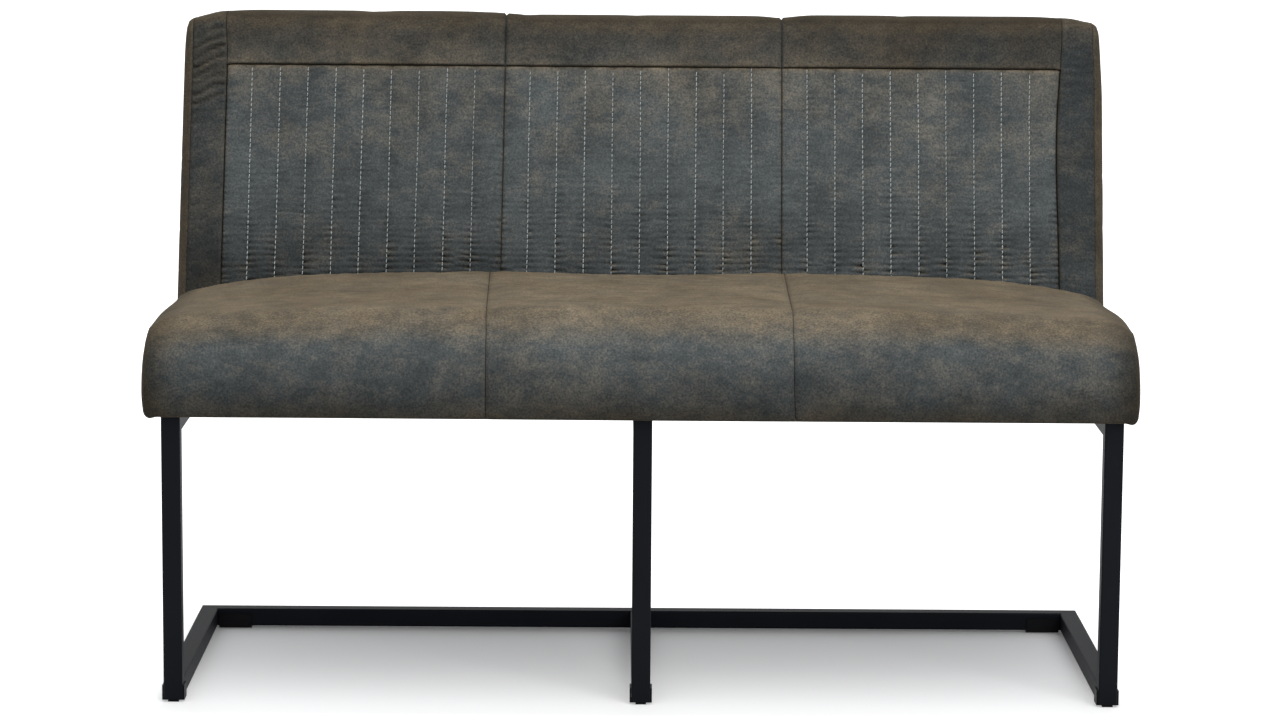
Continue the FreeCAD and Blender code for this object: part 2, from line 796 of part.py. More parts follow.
for side, x in columns.items():
    quilt = new_back_body(f"quilted_panel_{side}", x)
    base = new_sketch(quilt, "XY_Plane", lift=panel_foot)
    half = f"({panel_width} / 2)"
    draw_outline(
        base,
        [
            (f"-{half}", "channel_relief"),
            (half, "channel_relief"),
            (half, "cover_thickness"),
            (f"-{half}", "cover_thickness"),
        ],
    )
    pad(quilt, base, panel_length, both_ways=False)
    swell = new_sketch(quilt, "XY_Plane", lift=panel_foot)
    draw_channel(swell, f"({channel_pitch} / 2 - {half})")
    first_channel = pad(quilt, swell, panel_length, both_ways=False)
    channels = quilt.newObject("PartDesign::LinearPattern", f"channels_{side}")
    channels.Originals = [first_channel]
    channels.Direction = (swell, ["H_Axis"])
    bind(channels, "Length", f"{channel_pitch} * (channel_count - 1)")
    bind(channels, "Occurrences", "channel_count")
    quilt.Tip = channels
    doc.recompute()

    heading = new_back_body(f"heading_panel_{side}", x)
    hook = new_sketch(heading, "YZ_Plane")
    front_start = f"({heading_seam} + seam_gap / 2)"
    rear_start = f"({rear_seam} + seam_gap / 2)"
    inner_top = f"({back_height} - cover_thickness)"
    outer_front, outer_rear = ("0", back_height), (rear_at(back_height), back_height)
    inner_rear = (f"{rear_at(inner_top)} - cover_thickness", inner_top)
    inner_front = ("cover_thickness", inner_top)
    draw_outline(
        hook,
        [
            ("0", front_start),
            outer_front,
            outer_rear,
            (rear_at(rear_start), rear_start),
            (f"{rear_at(rear_start)} - cover_thickness", rear_start),
            inner_rear,
            inner_front,
            ("cover_thickness", front_start),
        ],
    )
    bend = pad(heading, hook, panel_width)
    for corner, radius in (
        (outer_front, "top_front_round"),
        (outer_rear, "top_rear_round"),
        (inner_front, "top_front_round - cover_thickness"),
        (inner_rear, "top_rear_round - cover_thickness"),
    ):
        bend = round_edges(heading, bend, stands_at(corner), radius)

    rear = new_back_body(f"rear_panel_{side}", x)
    slab = new_sketch(rear, "YZ_Plane")
    rear_end = f"({rear_seam} - seam_gap / 2)"
    draw_outline(
        slab,
        [
            rear_foot("cover_thickness"),
            rear_foot(),
            (rear_at(rear_end), rear_end),
            (f"{rear_at(rear_end)} - cover_thickness", rear_end),
        ],
    )
    pad(rear, slab, panel_width)


# Soft forms: lofts through closed outlines of lines and arcs
def rounded_wire(corners, radii):
    starts, middles, ends = [], [], []
    count = len(corners)
    for i, here in enumerate(corners):
        to_last = (corners[i - 1] - here).normalize()
        to_next = (corners[(i + 1) % count] - here).normalize()
        half_angle = to_last.getAngle(to_next) / 2
        inward = (to_last + to_next).normalize()
        reach = radii[i] / math.tan(half_angle)
        starts.append(here + to_last * reach)
        ends.append(here + to_next * reach)
        middles.append(here + inward * (radii[i] / math.sin(half_angle) - radii[i]))
    edges = []
    for i in range(count):
        edges.append(Part.makeLine(ends[i - 1], starts[i]))
        if radii[i] > 0:
            edges.append(Part.Arc(starts[i], middles[i], ends[i]).toShape())
    return Part.Wire(edges)


def add_form(label, shape, on_back=False):
    item = doc.addObject("Part::Feature", label)
    item.Label = label
    item.Shape = shape
    if on_back:
        item.Placement.Rotation = FreeCAD.Rotation(Vector(-1, 0, 0), value("recline"))
        bind(item, "Placement.Rotation.Angle", lean)
        place(item, "0", back_y, "seat_underside")
    parts.append(item)


# End bands and side panels of the back
def back_outline(x, inset, foot_drop=0):
    # Outline of the back across its depth at x, drawn in by inset; foot_drop lowers its foot.
    top = value(back_height) - inset
    slope = math.tan(math.radians(value("recline")))
    foot_depth, foot_height = (value(text) for text in rear_foot(str(inset), str(-foot_drop)))
    corners = [
        Vector(x, inset, inset * slope - foot_drop),
        Vector(x, foot_depth, foot_height),
        Vector(x, value(rear_at(back_height)) + value(taper_slope) * inset - inset, top),
        Vector(x, inset, top),
    ]
    return rounded_wire(corners, [0, 0, value("top_rear_round") - inset, value("top_front_round") - inset])


band_start = value(f"{column} * 1.5 + seam_gap / 2")
band_end = value(back_half)
band_draw = value("end_band_draw")
panel_depth = value("side_panel_depth")
panel_draw = value("side_panel_draw")
thickness = value("cover_thickness")
for side, sign in (("left", -1), ("right", 1)):
    outer = [
        back_outline(sign * (band_start + (band_end - band_start) * share), band_draw * share**2)
        for share in (0, 0.5, 1)
    ]
    core = [back_outline(sign * x, thickness, value("tube_side")) for x in (band_start, band_end)]
    ring = Part.makeLoft(outer, True).cut(Part.makeLoft(core, True, True))
    add_form(f"end_band_{side}", ring, on_back=True)

    crown = []
    for turn in (0, math.pi / 4, math.pi / 2):
        out, drawn = panel_depth * math.sin(turn), panel_draw * (1 - math.cos(turn))
        crown.append(back_outline(sign * (band_end + out), band_draw + drawn))
    add_form(f"side_panel_{side}", Part.makeLoft(crown, True), on_back=True)


# Seat: crowned along and across the bench, with a waterfall front and drawn-in ends
def seat_outline(x, inset, floor):
    # Outline of the seat across its depth at x, drawn in by inset and by floor at its underside.
    end = value("overall_width") / 2 - inset
    lean_angle = math.radians(value("recline"))

    def ease(reach):
        # Share of a quarter round of that reach which the end has fallen by at x.
        return 1 - math.cos(math.asin(min(1, max(0, (abs(x) - end + reach) / reach))))

    fall = ease(value("seat_end_round"))
    low_round = value("seat_bottom_round") - inset
    tuck = low_round * ease(low_round)
    crown = value("seat_crown_drop") * (2 * x / value("overall_width")) ** 2
    top = value("seat_crown") - inset - crown - value("seat_end_fall") * fall
    bottom = value("seat_underside") + floor + tuck
    front = inset - value("overall_depth") / 2 + value("seat_end_draw") * fall
    rear = value(back_y) - (value("soft_gap") + inset) / math.cos(lean_angle) - tuck

    def rear_y(z):
        return rear + (z - value("seat_underside")) * math.tan(lean_angle)

    corners = [
        Vector(x, rear_y(bottom), bottom),
        Vector(x, front, bottom),
        Vector(x, front, top),
        Vector(x, rear_y(top), top),
    ]
    flattening = value("seat_front_round - seat_cap_round") * fall
    front_round = value("seat_front_round") - flattening - inset
    rear_round = value("seat_rear_round") - inset
    return rounded_wire(corners, [low_round / 2, low_round - tuck / 2, front_round, rear_round])


def seat_form(inset, floor):
    end = value("overall_width") / 2 - inset
    reach = value("seat_end_round")
    flat = end - reach
    tuck_start = end - value("seat_bottom_round") + inset
    lines = [flat + reach * math.sin(math.radians(angle)) for angle in range(90, -1, -10)]
    lines = sorted([*lines, tuck_start], reverse=True)
    lines += [flat * share for share in (0.8, 0.6, 0.4, 0.2)]
    stations = [-x for x in lines] + [0] + lines[::-1]
    return Part.makeLoft([seat_outline(x, inset, floor) for x in stations], True, True)


seat_inset = value("cover_thickness")
gap = value("soft_gap")
lining_floor = value("lining_thickness")
shell = seat_form(0, 0).cut(seat_form(seat_inset, lining_floor))
mouth = Part.makeBox(
    2 * value(opening_half),
    value(f"{opening_rear} - {opening_front}"),
    2 * lining_floor,
    Vector(-value(opening_half), value(opening_front), value("seat_underside") - lining_floor / 2),
)
shell = shell.cut(mouth)
seam, seam_half = value("seat_seam"), value("seam_gap") / 2
outside = value("overall_width")
spans = {"left": (-outside, -seam - seam_half), "middle": (-seam + seam_half, seam - seam_half)}
spans["right"] = (seam + seam_half, outside)
for side, (low, high) in spans.items():
    corner = Vector(low, -outside, 0)
    slice_box = Part.makeBox(high - low, 2 * outside, outside, corner)
    add_form(f"seat_cover_{side}", shell.common(slice_box))

cavity_half = value(rail_half) + gap
cavity_front = value(front_rail_y) - gap
cavity_rear = value(f"{rear_rail_y} + rail_thickness") + gap
cavity_top = value(felt_z) + value("felt_thickness") + gap
cavity = Part.makeBox(
    2 * cavity_half,
    cavity_rear - cavity_front,
    cavity_top,
    Vector(-cavity_half, cavity_front, 0),
)
add_form("seat_foam", seat_form(seat_inset + gap, lining_floor + gap).cut(cavity))


# Sinuous springs: straight runs across, joined by half turns, from rail to rail
def spring_path():
    start = value(f"{front_rail_y} + rail_thickness / 2")
    finish = value(f"{rear_rail_y} + rail_thickness / 2")
    turns = max(2, round((finish - start) / value("spring_pitch")))
    radius = (finish - start) / turns / 2
    reach = value("spring_width") / 2 - radius
    z = value(wire_z)
    edges = []
    side = 1
    for i in range(turns + 1):
        y = start + 2 * radius * i
        edges.append(Part.makeLine(Vector(-side * reach, y, z), Vector(side * reach, y, z)))
        if i < turns:
            crest = Vector(side * (reach + radius), y + radius, z)
            chord = side * (reach + radius * math.sqrt(0.5))
            low = Vector(chord, y + radius * (1 - math.sqrt(0.5)), z)
            high = Vector(chord, y + radius * (1 + math.sqrt(0.5)), z)
            edges.append(Part.Arc(Vector(side * reach, y, z), low, crest).toShape())
            edges.append(Part.Arc(crest, high, Vector(side * reach, y + 2 * radius, z)).toShape())
        side = -side
    return Part.Wire(edges)


path = spring_path()
wire_start = path.Vertexes[0].Point
wire_ring = Part.Wire(Part.makeCircle(value("spring_wire") / 2, wire_start, Vector(1, 0, 0)))
spring = path.makePipeShell([wire_ring], True)
springs = []
for line in spring_lines:
    copy = spring.copy()
    copy.translate(Vector(value(line), 0, 0))
    springs.append(copy)
add_form("seat_springs", Part.makeCompound(springs))

doc.recompute()
for item in doc.Objects:
    if {"Invalid", "Error"} & set(item.State):
        raise RuntimeError(f"{item.Label} did not rebuild: {item.State}")
for item in parts:
    if item.Shape.isNull() or not item.Shape.isValid():
        raise RuntimeError(f"{item.Label} has no valid solid")

os.makedirs("parts", exist_ok=True)
for item in parts:
    item.Shape.exportStep(f"parts/{item.Label}.step")
    print(item.Label, len(item.Shape.Solids), round(item.Shape.Volume))
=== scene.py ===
import json
import math
import random

import bmesh
import bpy
from mathutils import Matrix, Vector, noise


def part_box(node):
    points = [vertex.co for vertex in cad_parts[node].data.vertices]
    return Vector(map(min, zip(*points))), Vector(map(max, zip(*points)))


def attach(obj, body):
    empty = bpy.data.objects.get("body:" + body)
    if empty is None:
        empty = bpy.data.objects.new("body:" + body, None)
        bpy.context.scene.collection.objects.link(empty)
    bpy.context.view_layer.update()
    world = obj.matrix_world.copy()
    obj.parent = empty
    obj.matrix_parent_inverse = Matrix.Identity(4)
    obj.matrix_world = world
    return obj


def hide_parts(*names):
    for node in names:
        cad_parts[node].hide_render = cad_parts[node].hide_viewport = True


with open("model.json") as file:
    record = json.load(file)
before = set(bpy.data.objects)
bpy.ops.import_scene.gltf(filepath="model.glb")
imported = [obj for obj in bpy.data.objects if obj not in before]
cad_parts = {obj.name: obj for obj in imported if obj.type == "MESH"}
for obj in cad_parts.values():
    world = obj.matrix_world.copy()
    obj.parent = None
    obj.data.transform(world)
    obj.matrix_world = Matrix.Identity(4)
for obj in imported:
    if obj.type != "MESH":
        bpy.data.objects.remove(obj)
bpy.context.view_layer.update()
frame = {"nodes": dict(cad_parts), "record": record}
scene = bpy.context.scene
mm = 0.001


def smooth(low, high, value):
    share = min(1, max(0, (value - low) / (high - low)))
    return share * share * (3 - 2 * share)


def ripple(a, b=0.0, c=0.0):
    return noise.noise(Vector((a, b, c)))


# materials: one function adds a node, one turns a hex colour to linear light
def linear(hexText):
    channels = [int(hexText[i:i + 2], 16) / 255 for i in (1, 3, 5)]
    return [c / 12.92 if c <= 0.04045 else ((c + 0.055) / 1.055) ** 2.4 for c in channels] + [1]


def perMetre(sizeInMm):
    return 1000 / sizeInMm


def addNode(tree, kind, inputs, **settings):
    node = tree.nodes.new("ShaderNode" + kind)
    for name, value in settings.items():
        setattr(node, name, value)
    for name, value in inputs.items():
        if isinstance(value, bpy.types.NodeSocket):
            tree.links.new(value, node.inputs[name])
        else:
            node.inputs[name].default_value = value
    return node


def startMaterial(name, **sockets):
    material = bpy.data.materials.new(name)
    material.use_nodes = True
    tree = material.node_tree
    shader = tree.nodes["Principled BSDF"]
    for label, value in sockets.items():
        shader.inputs[label.replace("_", " ")].default_value = value
    place = addNode(tree, "TexCoord", {}).outputs["Object"]
    return material, tree, shader, place


def brushedMicrofibre():
    # brushed polyester microfibre with a waxed look: no gloss, cloudy, slate mottled with brown; one
    # attribute adds brown, partly the nap's own, partly a sheen painted where faces turn up, aside or down;
    # the other darkens the nap a little and adds painted shade and light
    material, tree, shader, place = startMaterial(
        "brushedMicrofibre", IOR=1.45, Specular_IOR_Level=0.12, Sheen_Weight=0.22,
        Sheen_Roughness=0.55, Sheen_Tint=linear("#a08c6c"))
    warmAndPaintedSheen = addNode(tree, "Attribute", {}, attribute_name="warmAndPaintedSheen").outputs["Fac"]
    toneAndPaintedShading = addNode(tree, "Attribute", {}, attribute_name="toneAndPaintedShading").outputs["Fac"]
    brushed = addNode(tree, "Mapping", {"Vector": place, "Scale": (0.6, 1, 1)})  # along the bench
    clouds = addNode(tree, "TexNoise", {
        "Vector": place, "Scale": perMetre(85), "Detail": 3.0, "Roughness": 0.55})
    blots = addNode(tree, "TexNoise", {
        "Vector": brushed.outputs[0], "Scale": perMetre(17), "Detail": 4.0, "Roughness": 0.62})
    # real fibres are finer than this, but would only flicker
    nap = addNode(tree, "TexNoise", {"Vector": place, "Scale": perMetre(2.6), "Detail": 2.0})
    drift = addNode(tree, "Math", {0: clouds.outputs["Fac"], 1: blots.outputs["Fac"]}, operation="ADD")
    # the light and dark clouds are drawn elsewhere than the two-tone ones, so the two don't coincide
    elsewhere = addNode(tree, "Mapping", {"Vector": place, "Location": (3.1, 1.7, 0.9)})
    shadows = addNode(tree, "TexNoise", {
        "Vector": elsewhere.outputs[0], "Scale": perMetre(85), "Detail": 3.0, "Roughness": 0.55})
    dapple = addNode(tree, "Math", {0: shadows.outputs["Fac"], 1: blots.outputs["Fac"]}, operation="ADD")
    swing = addNode(tree, "MapRange", {
        "Value": drift.outputs[0], "From Min": 0.62, "From Max": 1.38, "To Min": -0.3, "To Max": 0.3})
    speck = addNode(tree, "MapRange", {
        "Value": nap.outputs["Fac"], "From Min": 0.25, "From Max": 0.75, "To Min": -0.16, "To Max": 0.16})
    turned = addNode(tree, "Math", {0: swing.outputs[0], 1: speck.outputs[0]}, operation="ADD")
    # the brown share: the cloth's own mottling plus a brown sheen painted where faces turn up, aside or
    # down
    paintedSheenAndMottle = addNode(tree, "Math", {0: warmAndPaintedSheen, 1: turned.outputs[0]}, operation="ADD", use_clamp=True)
    twoTone = addNode(tree, "Mix", {
        "Factor": paintedSheenAndMottle.outputs[0], "A": linear("#4c5152"), "B": linear("#746856")}, data_type="RGBA")
    depth = addNode(tree, "MapRange", {
        "Value": dapple.outputs[0], "From Min": 0.62, "From Max": 1.38, "To Min": 0.62, "To Max": 1.38})
    fibre = addNode(tree, "MapRange", {
        "Value": nap.outputs["Fac"], "From Min": 0.25, "From Max": 0.75, "To Min": 0.64, "To Max": 1.36})
    shade = addNode(tree, "Math", {0: depth.outputs[0], 1: fibre.outputs[0]}, operation="MULTIPLY")
    # painted shade and light from the second attribute multiply the colour here
    shaded = addNode(tree, "Math", {0: shade.outputs[0], 1: toneAndPaintedShading}, operation="MULTIPLY")
    colour = addNode(tree, "VectorMath", {
        0: twoTone.outputs["Result"], "Scale": shaded.outputs[0]}, operation="SCALE")
    tree.links.new(colour.outputs[0], shader.inputs["Base Color"])
    rough = addNode(tree, "MapRange", {"Value": blots.outputs["Fac"], "To Min": 0.72, "To Max": 0.92})
    tree.links.new(rough.outputs[0], shader.inputs["Roughness"])
    grain = addNode(tree, "Bump", {"Height": nap.outputs["Fac"], "Strength": 0.35, "Distance": 0.4 * mm})
    tree.links.new(grain.outputs[0], shader.inputs["Normal"])
    return material


def polyesterThread():
    # bonded polyester sewing thread: pale grey, a little lustrous, twisted
    material, tree, shader, place = startMaterial(
        "polyesterThread", IOR=1.5, Specular_IOR_Level=0.4, Roughness=0.5, Sheen_Weight=0.1)
    twist = addNode(tree, "TexWave", {
        "Vector": place, "Scale": perMetre(1.1) / math.tau, "Distortion": 0.6}, bands_direction="DIAGONAL")
    colour = addNode(tree, "Mix", {
        "Factor": twist.outputs["Fac"], "A": linear("#8d9797"), "B": linear("#b9c1c1")}, data_type="RGBA")
    tree.links.new(colour.outputs["Result"], shader.inputs["Base Color"])
    relief = addNode(tree, "Bump", {"Height": twist.outputs["Fac"], "Strength": 0.5, "Distance": 0.15 * mm})
    tree.links.new(relief.outputs[0], shader.inputs["Normal"])
    return material


def powderCoat():
    # fine-texture polyester powder coat on steel: blue-black, low gloss, faint grit
    material, tree, shader, place = startMaterial("powderCoat", IOR=1.5, Specular_IOR_Level=0.08)
    # real grit is finer than this, but would only flicker
    grit = addNode(tree, "TexNoise", {"Vector": place, "Scale": perMetre(1.4), "Detail": 2.0})
    cast = addNode(tree, "TexNoise", {"Vector": place, "Scale": perMetre(60), "Detail": 2.0})
    colour = addNode(tree, "Mix", {
        "Factor": cast.outputs["Fac"], "A": linear("#080a0f"), "B": linear("#101319")}, data_type="RGBA")
    tree.links.new(colour.outputs["Result"], shader.inputs["Base Color"])
    rough = addNode(tree, "MapRange", {"Value": grit.outputs["Fac"], "To Min": 0.45, "To Max": 0.62})
    tree.links.new(rough.outputs[0], shader.inputs["Roughness"])
    relief = addNode(tree, "Bump", {"Height": grit.outputs["Fac"], "Strength": 0.25, "Distance": 0.15 * mm})
    tree.links.new(relief.outputs[0], shader.inputs["Normal"])
    return material


def plainFinish(
        name, darkHex, lightHex, sizeInMm, roughLow, roughHigh, bump, stretch=(1, 1, 1), **sockets):
    # a finish whose colour, roughness and relief follow one noise of a real size
    material, tree, shader, place = startMaterial(name, **sockets)
    turned = addNode(tree, "Mapping", {"Vector": place, "Scale": stretch})
    fleck = addNode(tree, "TexNoise", {
        "Vector": turned.outputs[0], "Scale": perMetre(sizeInMm), "Detail": 3.0})
    colour = addNode(tree, "Mix", {
        "Factor": fleck.outputs["Fac"], "A": linear(darkHex), "B": linear(lightHex)}, data_type="RGBA")
    tree.links.new(colour.outputs["Result"], shader.inputs["Base Color"])
    rough = addNode(tree, "MapRange", {
        "Value": fleck.outputs["Fac"], "To Min": roughLow, "To Max": roughHigh})
    tree.links.new(rough.outputs[0], shader.inputs["Roughness"])
    relief = addNode(tree, "Bump", {"Height": fleck.outputs["Fac"], "Strength": 0.4, "Distance": bump * mm})
    tree.links.new(relief.outputs[0], shader.inputs["Normal"])
    return material


microfibre = brushedMicrofibre()
thread = polyesterThread()
slotFinish = {
    "powder_coated_steel": powderCoat(),
    # injection-moulded polypropylene: black, satin, slightly mottled by the tool's texture
    "black_plastic": plainFinish(
        "mouldedPolypropylene", "#0a0a0c", "#121315", 2.5, 0.4, 0.55, 0.1, IOR=1.49,
        Specular_IOR_Level=0.08),
    # rotary-cut birch plywood: pale, with long grain along the bench
    "plywood": plainFinish(
        "birchPlywood", "#b58f5f", "#d8bb8c", 4, 0.5, 0.7, 0.15, (0.06, 1, 1), IOR=1.5),
    # bright zinc plating on drawn steel: silvery, faintly streaked
    "zinc_steel": plainFinish(
        "zincPlate", "#a9adb0", "#c9cccd", 3, 0.25, 0.4, 0.03, (1, 1, 0.2), Metallic=1.0),
    # needled felt: grey, fibrous and quite matt
    "felt": plainFinish("needledFelt", "#55585a", "#7d8080", 2.5, 0.9, 1.0, 0.5, Sheen_Weight=0.2),
    # spun-bonded polypropylene: black, thin and dimpled
    "lining": plainFinish("spunBondLining", "#121314", "#232527", 2.2, 0.75, 0.9, 0.25, IOR=1.49),
    # cut polyurethane foam: cream, open-celled and matt
    "foam": plainFinish("cutFoam", "#c9c2a8", "#ddd7c2", 3, 0.9, 1.0, 0.5),
    "upholstery": microfibre,
}
for row in frame["record"]["subparts"]:
    slots = frame["nodes"][row["node"]].data.materials
    slots.clear()
    slots.append(slotFinish[row["material_slot"]])


# pieces: a box divided along lines that the piece names, then shaped
def gridBox(lines):
    bm = bmesh.new()
    bmesh.ops.create_cube(bm, size=1)
    for axis in range(3):
        along = [e for e in bm.edges if abs(e.verts[0].co[axis] - e.verts[1].co[axis]) > 0.5]
        bmesh.ops.subdivide_edges(bm, edges=along, cuts=len(lines[axis]) - 2, use_grid_fill=True)
    for vert in bm.verts:
        vert.co = [lines[k][round((vert.co[k] + 0.5) * (len(lines[k]) - 1))] for k in range(3)]
    return bm


def spaced(stops, step):
    # values through the stops, about a step apart, with each stop among them
    values = [stops[0]]
    for low, high in zip(stops, stops[1:]):
        count = max(1, round((high - low) / step))
        values += [low + (high - low) * i / count for i in range(1, count + 1)]
    return values


def roundCorner(a, b, radius):
    # a and b run in from two faces that meet: a square corner becomes a round one
    if a >= radius or b >= radius:
        return a, b
    across, up = 1 - a / radius, 1 - b / radius
    share = max(across, up) / math.hypot(across, up) if across + up > 0 else 1
    return radius * (1 - across * share), radius * (1 - up * share)


def asPiece(name, bm, material, slotName, *nodes):
    mesh = bpy.data.meshes.new(name)
    bmesh.ops.recalc_face_normals(bm, faces=bm.faces)
    bm.to_mesh(mesh)
    bm.free()
    mesh.shade_smooth()
    mesh.materials.append(material)
    piece = bpy.data.objects.new(name, mesh)
    scene.collection.objects.link(piece)
    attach(piece, "root")
    if nodes:
        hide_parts(*nodes)
    return piece


def paint(piece, layer, values):
    attribute = piece.data.attributes.new(layer, "FLOAT", "POINT")
    attribute.data.foreach_set("value", values)


# the back leans: x along the bench, w into it from its front face, v up along that face
backPlace = {
    "lean": math.radians(11),
    "foot": Vector((0, 130.7, 384)),
    "height": 504.8,
    "topDepth": 78.6,
    "taper": 18,
    "headingSeam": 429.8,
    "rearSeam": 456.8,
    "panelSeams": (-588, -196, 196, 588),
    "bandSeam": 638,
    "halfWidth": 650,
    "spreadFrom": 320, "spreadLeft": -0.019, "spreadMiddle": -0.002, "spreadRight": 0.009,
    "flare": 9, "bow": 5, "bowAt": 290, "seamReach": 40,
}
sides = ["Left", "Middle", "Right"]


def onBack(x, w, v):
    turn, foot = backPlace["lean"], backPlace["foot"]
    left, middle, right = (backPlace["spread" + side] for side in sides)
    spread = left + (middle - left) * smooth(-300, 0, x) + (right - middle) * smooth(0, 400, x)
    # the right panel's seam swings out at the top and bows in below it
    byRightSeam = math.exp(-((x - backPlace["panelSeams"][3]) / backPlace["seamReach"]) ** 2)
    flare = backPlace["flare"] * smooth(340, 530, v) * byRightSeam
    bow = backPlace["bow"] * (0.5 + 0.5 * math.exp(-((v - backPlace["bowAt"]) / 90) ** 2))
    bow *= byRightSeam ** 2.5
    x += spread * (backPlace["spreadFrom"] - v) + flare - bow
    return Vector((
        x * mm,
        (foot.y + w * math.cos(turn) + v * math.sin(turn)) * mm,
        (foot.z - w * math.sin(turn) + v * math.cos(turn)) * mm))


# seat cushion: crowned, waterfall front, three panels with two sewn seams
seat = {
    "half": 650, "front": -300, "depth": 440, "bottom": 384, "crown": 523, "crownDrop": 15, "rearDrop": 30,
    "broadFall": 4, "broadReach": 250, "endRound": 34, "endFall": 10, "endDraw": 16,
    "bowLeft": 2, "bowRight": 5.5, "aside": -2.3, "skewLeft": -9, "skewRight": 5, "skewReach": 70,
    "frontRound": 77, "capRound": 66, "bottomRound": 12, "rearRound": 18, "sag": 2.8, "cornerSag": 3.5,
    "seam": 202, "seamPeak": 2.4, "slitHalf": 0.8, "slitDepth": 3.5,
    "step": 5.4, "inset": 2.5, "lining": 2.6, "mostSwell": 4.0, "paintedSheenTurn": (0.5, 0.95),
}


def seatLines():
    flat = seat["half"] - seat["endRound"]
    ends = [flat + seat["endRound"] * math.sin(math.radians(a)) for a in range(6, 91, 6)]
    s, h = seat["seam"], seat["slitHalf"]
    half = spaced([0, s - h], seat["step"]) + [s] + spaced([s + h, flat], seat["step"]) + ends
    along = [-x for x in reversed(half)] + half[1:]
    height = seat["crown"] - seat["bottom"]
    return along, spaced([0, 1], seat["step"] / seat["depth"]), spaced([0, 1], seat["step"] / height)


def seatPoint(x, b, c, inset):
    # b runs from the front (0) to the rear (1), c from the underside (0) to the top (1)
    end = seat["half"]
    reach = seat["endRound"]
    fall = 1 - math.cos(math.asin(min(1, max(0, (abs(x) - end + reach) / reach))))
    lowRound = seat["bottomRound"]
    lowFall = 1 - math.cos(math.asin(min(1, max(0, (abs(x) - end + lowRound) / lowRound))))
    tuck = lowRound * lowFall
    broad = min(1, max(0, (abs(x) - end + seat["broadReach"]) / seat["broadReach"])) ** 2
    atRear = smooth(0.35, 0.95, b)
    frontDrop = seat["crownDrop"] * (x / end) ** 2 + seat["broadFall"] * broad
    rearDrop = seat["rearDrop"] * (x / end) ** 6  # the rear edge stays level until close to the ends
    top = seat["crown"] - inset - frontDrop - (rearDrop - frontDrop) * atRear
    top -= seat["endFall"] * fall * (1 - 0.7 * atRear)
    top += seat["seamPeak"] * math.exp(-((abs(x) - seat["seam"]) / 55) ** 2) * smooth(0.5, 0.95, b)
    bottom = seat["bottom"] + tuck
    front = seat["front"] + seat["endDraw"] * fall + inset
    tilt = math.tan(backPlace["lean"])
    rear = backPlace["foot"].y - 0.4 - tuck + (c * (top - bottom) + bottom - seat["bottom"]) * tilt
    fromFront, fromRear = b * (rear - front), (1 - b) * (rear - front)
    fromBottom, fromTop = c * (top - bottom), (1 - c) * (top - bottom)
    frontRound = seat["frontRound"] - (seat["frontRound"] - seat["capRound"]) * fall
    y, z = front + fromFront, bottom + fromBottom
    if b < 0.5:
        u, k = roundCorner(fromFront, fromTop, frontRound)
        if (u, k) == (fromFront, fromTop):
            u, low = roundCorner(fromFront, fromBottom, max(4, lowRound - tuck / 2))
            z = bottom + low
        else:
            z = top - k
        y = front + u
    else:
        u, k = roundCorner(fromRear, fromTop, seat["rearRound"])
        y, z = rear - u, top - k
    sag = seat["sag"] * (0.6 + 0.4 * smooth(-450, 150, x)) * smooth(0.07, 0, b)
    sag += seat["cornerSag"] * smooth(end - 22, end - 4, abs(x)) * smooth(0.5, 0.1, b)
    z -= sag * (1 - c) ** 2
    near = math.exp(-((abs(x) - seat["seam"]) / seat["skewReach"]) ** 2)
    skew = seat["skewLeft"] * b if x < 0 else seat["skewRight"] * (b - 1)  # the seams run a little askew
    bow = (seat["bowLeft"] if x < 0 else seat["bowRight"]) * math.sin(math.pi * b) ** 2 * c
    x += math.copysign(1, x) * (bow - inset) * smooth(end - reach, end, abs(x))
    return Vector((x + seat["aside"] + skew * near * c ** 0.3, y, z)) * mm


def seatMesh():
    bm = gridBox(seatLines())
    notes = {"held": [], "seam": [], "warmAndPaintedSheen": [], "toneAndPaintedShading": []}
    liningLow, liningHigh = (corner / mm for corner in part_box("seat_dust_cover"))
    for index, vert in enumerate(bm.verts):
        x, b, c = vert.co
        nearSeam = math.exp(-((abs(x) - seat["seam"]) / 9) ** 2)
        vert.co = seatPoint(x, b, c, seat["inset"] + 0.6 * nearSeam)
        onSeam = abs(abs(x) - seat["seam"]) < 0.01
        under = c < 0.001
        if under and liningLow.y < vert.co.y / mm < liningHigh.y and abs(x) < liningHigh.x:
            vert.co.z += seat["lining"] * mm
        if under or b > 0.999 or onSeam:
            notes["held"].append(index)
        if onSeam and not under:
            notes["seam"].append(index)
        # painted light on top, painted shade under the front and more painted shade towards the ends; a
        # brown sheen is painted under the front and at the ends
        high, low = smooth(440, 480, vert.co.z / mm), smooth(440, 388, vert.co.z / mm)
        end = smooth(seat["half"] - 55, seat["half"] - 2, abs(x))
        notes["warmAndPaintedSheen"].append(0.07 + 0.1 * low + 0.23 * end)
        toneAndPaintedShading = (0.94 + 0.16 * high - 0.4 * low) * (1 - (0.58 if x < 0 else 0.66) * end)
        notes["toneAndPaintedShading"].append(toneAndPaintedShading * (1 - 0.08 * smooth(200, 500, abs(x))))
    return bm, notes


# back case: headings over the top, end bands, side panels and rear panels, with their seams
case = {
    "frontRound": 26, "rearRound": 30, "bandDraw": 4, "sideDraw": 12, "slitHalf": 0.8,
    "slitDepth": 3.5, "window": 8.6, "inset": 1.6, "lining": 2.6,
    "step": 6.2, "bandStep": 4.6, "sideStep": 2.8, "rowStep": 3.6, "depthStep": 0.055,
    "endFallLeft": 7, "endFallRight": 3, "fallReach": 75,
    "cornerLeft": 12, "cornerRight": 15, "leanRight": 3.2, "bendLeft": 4, "seamDips": (0.8, -0.8, 2.0, 0.8),
    "riseLeft": 6.4, "riseMiddle": 2.3, "riseRight": 4.0,
    "liningEdge": 0.07, "mostSwell": 3.0, "paintedSheenTurn": (0.35, 0.82),
}


